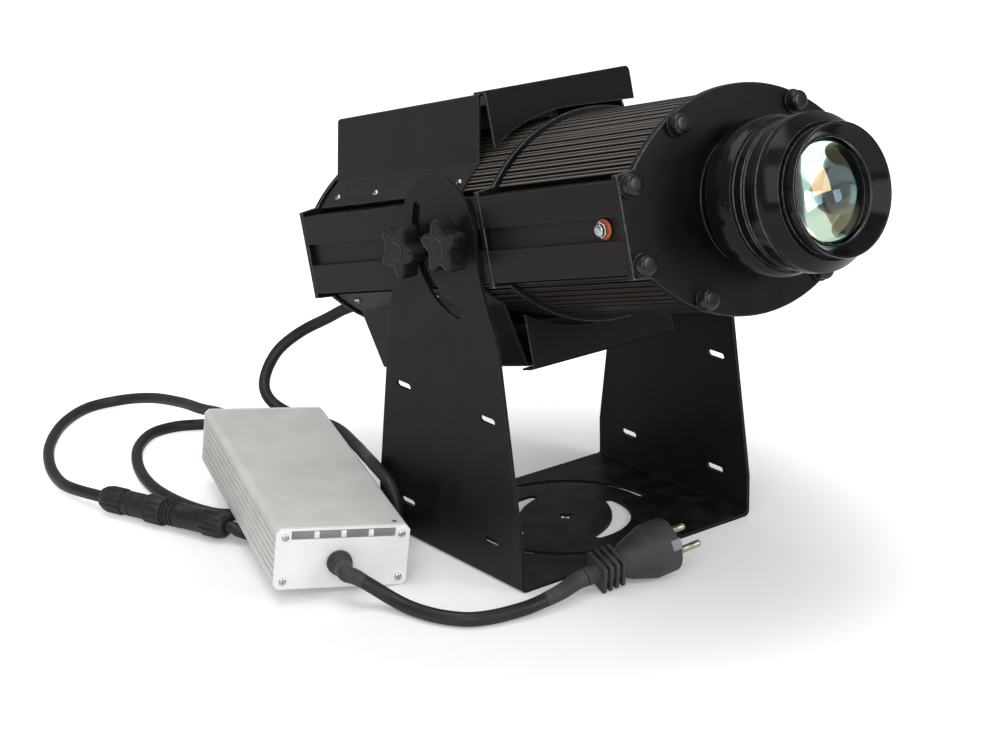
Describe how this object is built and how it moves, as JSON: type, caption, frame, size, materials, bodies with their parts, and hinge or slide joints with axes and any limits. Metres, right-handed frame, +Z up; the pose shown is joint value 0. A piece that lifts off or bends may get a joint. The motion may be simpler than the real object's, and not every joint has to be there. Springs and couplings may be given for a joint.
{
  "type": "gobo projector",
  "caption": "Outdoor gobo projector: finned head with hoods and focusing lens, tilting in a U-shaped floor bracket, with its driver, inline connector and mains plug on cords.",
  "frame": {"origin": "bottom centre of the bracket, head and driver, on the floor, measured without the cords and what is on them", "axes": "+Z up; the bracket's arms stand across X, and the lens looks along -Y, tilted up 14.47 degrees"},
  "size_m": [0.3729, 0.7007, 0.3352],
  "materials": {
    "powder_coat": "satin black powder coat on sheet steel",
    "black_anodised": "satin brown-black anodised extrusion with brighter fin tips",
    "black_plate": "satin black powder coat on aluminium plate, bare at the edges",
    "hood_sheet": "satin black powder coat on bent aluminium sheet",
    "nut_caps": "gloss black",
    "knob_plastic": "fine matte black moulding",
    "fan_plastic": "satin black moulding",
    "gland_plastic": "satin black nylon",
    "lens_black": "gloss black anodised, turned",
    "coated_glass": "polished, green anti-reflection coating",
    "clear_glass": "polished",
    "bare_aluminium": "satin, as extruded",
    "led_copper": "satin copper board with a phosphor face",
    "gear_brass": "satin, machined",
    "zinc_steel": "bright zinc plate",
    "orange_rubber": "matte silicone",
    "silver_case": "bead-blasted silver anodised",
    "circuit_board": "solder mask",
    "plug_rubber": "satin dark grey moulded rubber",
    "cord_jacket": "satin black jacket"
  },
  "bodies": {
    "stand": {"yoke_bracket": "powder_coat", "driver_case": "silver_case", "driver_front_plate": "silver_case", "driver_rear_plate": "silver_case", "driver_board": "circuit_board", "mains_gland": "gland_plastic", "power_gland": "gland_plastic", "mains_plug": "plug_rubber", "connector_socket": "gland_plastic", "connector_nut": "gland_plastic", "connector_plug": "gland_plastic", "mains_cord": "cord_jacket", "power_cable": "cord_jacket", "head_cable": "cord_jacket"},
    "head": {"rear_housing": "black_anodised", "front_housing": "black_anodised", "divider_plate": "black_plate", "front_cover": "black_plate", "rear_cover": "black_plate", "thumb_nut_1": "nut_caps", "thumb_nut_2": "nut_caps", "thumb_nut_3": "nut_caps", "thumb_nut_4": "nut_caps", "thumb_nut_5": "nut_caps", "thumb_nut_6": "nut_caps", "thumb_nut_7": "nut_caps", "thumb_nut_8": "nut_caps", "top_rear_hood": "hood_sheet", "top_front_hood": "hood_sheet", "bottom_rear_hood": "hood_sheet", "bottom_front_hood": "hood_sheet", "top_fan_frame": "fan_plastic", "bottom_fan_frame": "fan_plastic", "heat_sink": "bare_aluminium", "led_module": "led_copper", "condenser_holder": "black_anodised", "condenser_lens": "clear_glass", "gobo_stage": "black_anodised", "gobo_motor": "zinc_steel", "lens_collar": "lens_black", "focus_lock_screw": "lens_black", "vent_valve": "zinc_steel", "vent_seal": "orange_rubber", "head_gland": "gland_plastic"},
    "pivot_knob_left": {"pivot_knob_left": "knob_plastic"},
    "pivot_knob_right": {"pivot_knob_right": "knob_plastic"},
    "lock_knob_left": {"lock_knob_left": "knob_plastic"},
    "lock_knob_right": {"lock_knob_right": "knob_plastic"},
    "top_fan": {"top_fan_rotor": "fan_plastic"},
    "bottom_fan": {"bottom_fan_rotor": "fan_plastic"},
    "gobo": {"gobo_gear": "gear_brass", "gobo_glass": "clear_glass", "gobo_clip": "zinc_steel"},
    "pinion": {"motor_pinion": "gear_brass"},
    "barrel": {"lens_barrel": "lens_black", "front_lens": "coated_glass", "rear_lens": "clear_glass", "lens_bezel": "lens_black"},
    "focus_ring": {"focus_ring": "lens_black"}
  },
  "joints": [
    {"name": "head_tilt", "type": "hinge", "parent": "stand", "child": "head", "pos_m": [0.05709, -0.00911, 0.2263], "axis": [-1, 0, 0], "range_deg": [-32, 35], "deforming": ["head_cable"]},
    {"name": "pivot_knob_left_turn", "type": "hinge", "parent": "head", "child": "pivot_knob_left", "pos_m": [-0.0553, -0.00911, 0.2263], "axis": [-1, 0, 0], "range_deg": [0, 450]},
    {"name": "pivot_knob_right_turn", "type": "hinge", "parent": "head", "child": "pivot_knob_right", "pos_m": [0.1695, -0.00911, 0.2263], "axis": [1, 0, 0], "range_deg": [0, 450]},
    {"name": "lock_knob_left_turn", "type": "hinge", "parent": "head", "child": "lock_knob_left", "pos_m": [-0.0553, 0.03737, 0.21431], "axis": [-1, 0, 0], "range_deg": [0, 450]},
    {"name": "lock_knob_right_turn", "type": "hinge", "parent": "head", "child": "lock_knob_right", "pos_m": [0.1695, 0.03737, 0.21431], "axis": [1, 0, 0], "range_deg": [0, 450]},
    {"name": "top_fan_spin", "type": "hinge", "parent": "head", "child": "top_fan", "pos_m": [0.05709, 0.08626, 0.20169], "axis": [0, 0.2499, 0.9683], "continuous": true},
    {"name": "bottom_fan_spin", "type": "hinge", "parent": "head", "child": "bottom_fan", "pos_m": [0.05709, 0.08626, 0.20169], "axis": [0, 0.2499, 0.9683], "continuous": true},
    {"name": "gobo_spin", "type": "hinge", "parent": "head", "child": "gobo", "pos_m": [0.05709, -0.04639, 0.23592], "axis": [0, -0.9683, 0.2499], "continuous": true},
    {"name": "pinion_spin", "type": "hinge", "parent": "head", "child": "pinion", "pos_m": [0.1031, -0.04639, 0.23592], "axis": [0, -0.9683, 0.2499], "continuous": true},
    {"name": "lens_slide", "type": "slide", "parent": "head", "child": "barrel", "axis": [0, -0.9683, 0.2499], "range_m": [-0.01, 0.005]},
    {"name": "focus_turn", "type": "hinge", "parent": "barrel", "child": "focus_ring", "pos_m": [0.05709, -0.18001, 0.2704], "axis": [0, -0.9683, 0.2499], "range_deg": [-101, 51]}
  ],
  "couplings": [
    {"joint": "pinion_spin", "follows": "gobo_spin", "ratio": -3.6},
    {"joint": "focus_turn", "follows": "lens_slide", "rad_per_m": 174.53}
  ]
}
